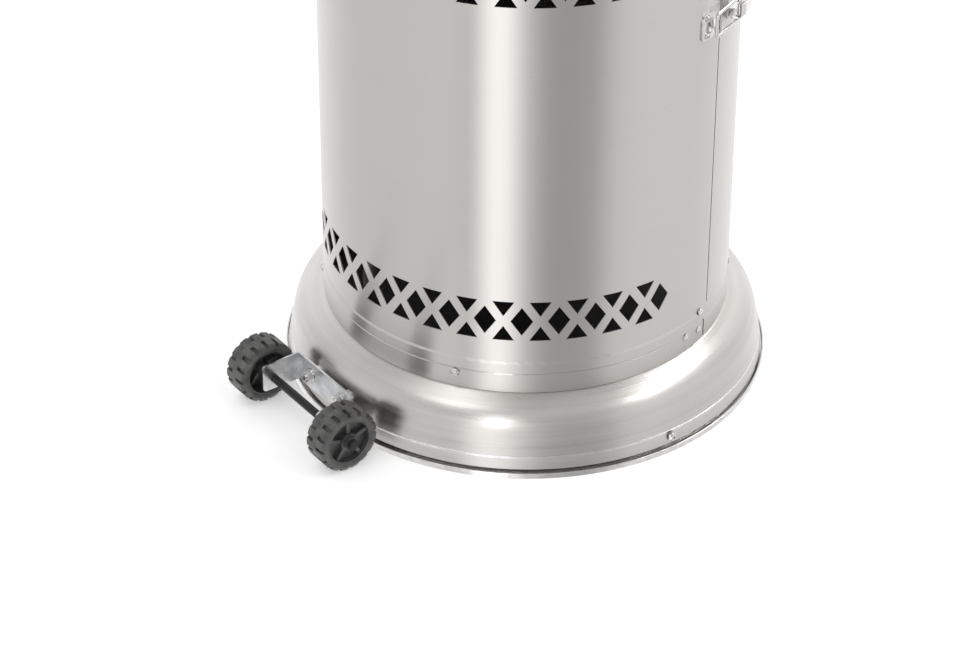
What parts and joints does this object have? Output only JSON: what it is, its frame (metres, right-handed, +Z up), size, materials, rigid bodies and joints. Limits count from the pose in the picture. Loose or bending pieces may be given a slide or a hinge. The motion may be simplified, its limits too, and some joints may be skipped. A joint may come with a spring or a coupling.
{
  "type": "outdoor heater",
  "caption": "Free-standing gas patio heater: wheeled round base, latched drum housing, post, burner head and wide dished reflector.",
  "frame": {"origin": "on the floor, at the centre of the round base", "axes": "+Z up along the post; -Y towards the door and controls; the wheels are at +Y"},
  "size_m": [0.8239, 0.824, 2.17],
  "materials": {
    "brushed_steel": "brushed lengthwise round the housing",
    "satin_steel": "satin, spun",
    "bright_hardware": "bright",
    "zinc_sheet": "zinc plated",
    "wheel_plastic": "moulded, dark grey",
    "black_steel": "black, semi-gloss",
    "cast_weight": "painted casting",
    "black_plastic": "moulded",
    "brass_fitting": "machined",
    "grey_casting": "die cast",
    "hose_rubber": "smooth",
    "emitter_steel": "heat toned",
    "reflector_aluminium": "spun, polished"
  },
  "bodies": {
    "root": {"axle": "black_steel", "axle_caps": "black_steel", "axle_spacers": "black_steel", "base_dome": "satin_steel", "base_pan": "satin_steel", "base_weight": "cast_weight", "bottle_tray": "zinc_sheet", "bracket_bolts": "bright_hardware", "burner": "emitter_steel", "burner_pan": "brushed_steel", "control_housing": "brushed_steel", "control_panel": "black_plastic", "door_jambs": "zinc_sheet", "emitter_cap": "brushed_steel", "emitter_screen": "emitter_steel", "frame_leaves": "bright_hardware", "gas_hose": "hose_rubber", "gas_pipes": "brass_fitting", "gas_valve": "brass_fitting", "hinge_pins": "bright_hardware", "hose_clip": "zinc_sheet", "housing_collar": "brushed_steel", "housing_lid": "brushed_steel", "housing_shell": "brushed_steel", "igniter_body": "black_plastic", "keeper_screws": "bright_hardware", "latch_keeper": "bright_hardware", "leg_bolts": "bright_hardware", "lower_post": "brushed_steel", "pilot_set": "brass_fitting", "pipe_union": "brass_fitting", "post_coupler": "zinc_sheet", "post_flange": "zinc_sheet", "post_screws": "bright_hardware", "post_trim": "brushed_steel", "reflector": "reflector_aluminium", "reflector_spacers": "bright_hardware", "reflector_studs": "bright_hardware", "regulator": "grey_casting", "sheet_screws": "bright_hardware", "shell_rivets": "bright_hardware", "support_legs": "zinc_sheet", "tilt_switch": "black_plastic", "upper_post": "brushed_steel", "wheel_bracket": "zinc_sheet", "wing_nuts": "bright_hardware"},
    "door": {"door_panel": "brushed_steel", "door_leaves": "bright_hardware", "latch_base": "bright_hardware", "latch_base_screws": "bright_hardware", "lever_pin": "bright_hardware"},
    "latch_lever": {"latch_lever": "bright_hardware"},
    "latch_bail": {"latch_bail": "bright_hardware"},
    "left_wheel": {"left_tyre": "wheel_plastic", "left_hub": "wheel_plastic"},
    "right_wheel": {"right_tyre": "wheel_plastic", "right_hub": "wheel_plastic"},
    "control_knob": {"control_knob": "black_plastic", "valve_stem": "brass_fitting"},
    "igniter_button": {"igniter_button": "black_plastic"}
  },
  "joints": [
    {"name": "door_hinge", "type": "hinge", "parent": "root", "child": "door", "pos_m": [0.17961, -0.07847, 0.45], "axis": [0, 0, 1], "range_deg": [0, 110]},
    {"name": "latch_lever_pivot", "type": "hinge", "parent": "door", "child": "latch_lever", "pos_m": [-0.17355, -0.09983, 0.404], "axis": [0, 0, -1], "range_deg": [0, 150]},
    {"name": "latch_bail_pivot", "type": "hinge", "parent": "latch_lever", "child": "latch_bail", "pos_m": [-0.16921, -0.10776, 0.404], "axis": [0, 0, -1], "range_deg": [-150, 0]},
    {"name": "left_wheel_spin", "type": "hinge", "parent": "root", "child": "left_wheel", "pos_m": [0.067, 0.2564, 0.031], "axis": [1, 0, 0], "continuous": true},
    {"name": "right_wheel_spin", "type": "hinge", "parent": "root", "child": "right_wheel", "pos_m": [-0.067, 0.2564, 0.031], "axis": [1, 0, 0], "continuous": true},
    {"name": "control_knob_turn", "type": "hinge", "parent": "root", "child": "control_knob", "pos_m": [-0.022, -0.083, 1.79], "axis": [0, -1, 0], "range_deg": [0, 165]},
    {"name": "igniter_button_press", "type": "slide", "parent": "root", "child": "igniter_button", "axis": [0, 1, 0], "range_m": [0, 0.004], "stiffness_N_per_m": 600}
  ],
  "couplings": [
    {"joint": "latch_bail_pivot", "follows": "latch_lever_pivot", "ratio": -1}
  ]
}
